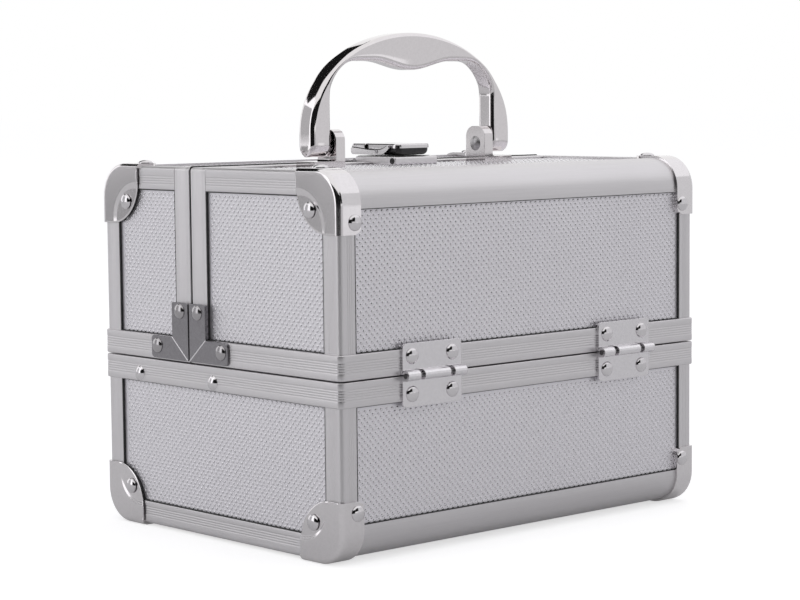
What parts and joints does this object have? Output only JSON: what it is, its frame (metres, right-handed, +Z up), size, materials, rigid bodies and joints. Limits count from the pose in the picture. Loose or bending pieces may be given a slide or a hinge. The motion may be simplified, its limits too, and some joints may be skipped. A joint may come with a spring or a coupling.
{
  "type": "makeup train case",
  "caption": "Hard-sided makeup case with two hinged lids that meet at a top split, an arched chrome handle, a draw latch and a swing-out tray.",
  "frame": {"origin": "on the floor, in the middle under the closed case", "axes": "+Z up, +X along the long side, -Y towards the long side with the wider lid's hinges"},
  "size_m": [0.2106, 0.1632, 0.207],
  "materials": {
    "sheet": "dimpled satin sheet",
    "frame": "satin anodised extrusion",
    "cap": "polished plated steel",
    "handle": "polished plating",
    "latch": "polished plated steel",
    "hinge": "nickel-plated steel",
    "rivet": "nickel-plated steel",
    "bracket": "dark nickel-plated steel",
    "arm": "zinc-plated steel",
    "pin": "plain steel",
    "board": "fibreboard",
    "lining": "black flocked lining",
    "tray": "black satin plastic",
    "mirror": "silvered glass"
  },
  "bodies": {
    "base": {"base_boards": "board", "base_skin_near": "sheet", "base_skin_far": "sheet", "base_skin_ends": "sheet", "base_skin_bottom": "sheet", "base_rim": "frame", "base_corner_posts": "frame", "base_long_rails": "frame", "base_end_rails": "frame", "base_corner_caps": "cap", "base_lining": "lining", "base_hinge_leaves": "hinge", "hinge_pins": "pin", "base_rivets": "rivet", "arm_pivot_pins": "rivet"},
    "near_lid": {"near_lid_boards": "board", "near_lid_skin_front": "sheet", "near_lid_skin_top": "sheet", "near_lid_skin_ends": "sheet", "near_lid_rim": "frame", "near_lid_corner_posts": "frame", "near_lid_long_rail": "frame", "near_lid_end_rails": "frame", "near_lid_split_frame": "frame", "near_lid_corner_caps": "cap", "near_lid_brackets": "bracket", "near_lid_lining": "lining", "near_lid_hinge_leaves": "hinge", "near_lid_rivets": "rivet", "mirror_glass": "mirror", "mirror_frame": "frame", "handle_brackets": "handle", "handle_pins": "handle", "latch_base": "latch"},
    "far_lid": {"far_lid_boards": "board", "far_lid_skin_front": "sheet", "far_lid_skin_top": "sheet", "far_lid_skin_ends": "sheet", "far_lid_rim": "frame", "far_lid_corner_posts": "frame", "far_lid_long_rail": "frame", "far_lid_end_rails": "frame", "far_lid_split_frame": "frame", "far_lid_corner_caps": "cap", "far_lid_brackets": "bracket", "far_lid_lining": "lining", "far_lid_hinge_leaves": "hinge", "far_lid_rivets": "rivet", "latch_catch": "latch"},
    "handle": {"handle": "handle"},
    "latch_lever": {"latch_lever": "latch", "latch_pins": "pin"},
    "latch_link": {"latch_link": "latch"},
    "inner_arms": {"tray_arms_inner": "arm"},
    "outer_arms": {"tray_arms_outer": "arm"},
    "tray": {"tray": "tray", "tray_trim": "frame", "tray_dividers": "tray", "tray_pins": "rivet"}
  },
  "joints": [
    {"name": "near_lid_hinge", "type": "hinge", "parent": "base", "child": "near_lid", "pos_m": [0, -0.0795, 0.0718], "axis": [1, 0, 0], "range_deg": [0, 105]},
    {"name": "far_lid_hinge", "type": "hinge", "parent": "base", "child": "far_lid", "pos_m": [0, 0.0795, 0.0718], "axis": [-1, 0, 0], "range_deg": [0, 100]},
    {"name": "handle_fold", "type": "hinge", "parent": "near_lid", "child": "handle", "pos_m": [0, -0.0038, 0.159], "axis": [1, 0, 0], "range_deg": [-60, 90]},
    {"name": "latch_lift", "type": "hinge", "parent": "near_lid", "child": "latch_lever", "pos_m": [0, 0.0088, 0.157], "axis": [-1, 0, 0], "range_deg": [0, 90]},
    {"name": "latch_link_pivot", "type": "hinge", "parent": "latch_lever", "child": "latch_link", "pos_m": [0, 0.0038, 0.1564], "axis": [1, 0, 0], "range_deg": [0, 90]},
    {"name": "inner_arm_pivot", "type": "hinge", "parent": "base", "child": "inner_arms", "pos_m": [0, 0.0023, 0.0649], "axis": [-1, 0, 0], "range_deg": [0, 115]},
    {"name": "outer_arm_pivot", "type": "hinge", "parent": "base", "child": "outer_arms", "pos_m": [0, 0.052, 0.0649], "axis": [-1, 0, 0], "range_deg": [0, 115]},
    {"name": "tray_pivot", "type": "hinge", "parent": "inner_arms", "child": "tray", "pos_m": [0, -0.03939, 0.08434], "axis": [1, 0, 0], "range_deg": [0, 115]}
  ],
  "couplings": [
    {"joint": "latch_link_pivot", "follows": "latch_lift", "ratio": 1},
    {"joint": "inner_arm_pivot", "follows": "far_lid_hinge", "ratio": 1.15},
    {"joint": "outer_arm_pivot", "follows": "far_lid_hinge", "ratio": 1.15},
    {"joint": "tray_pivot", "follows": "far_lid_hinge", "ratio": 1.15}
  ]
}
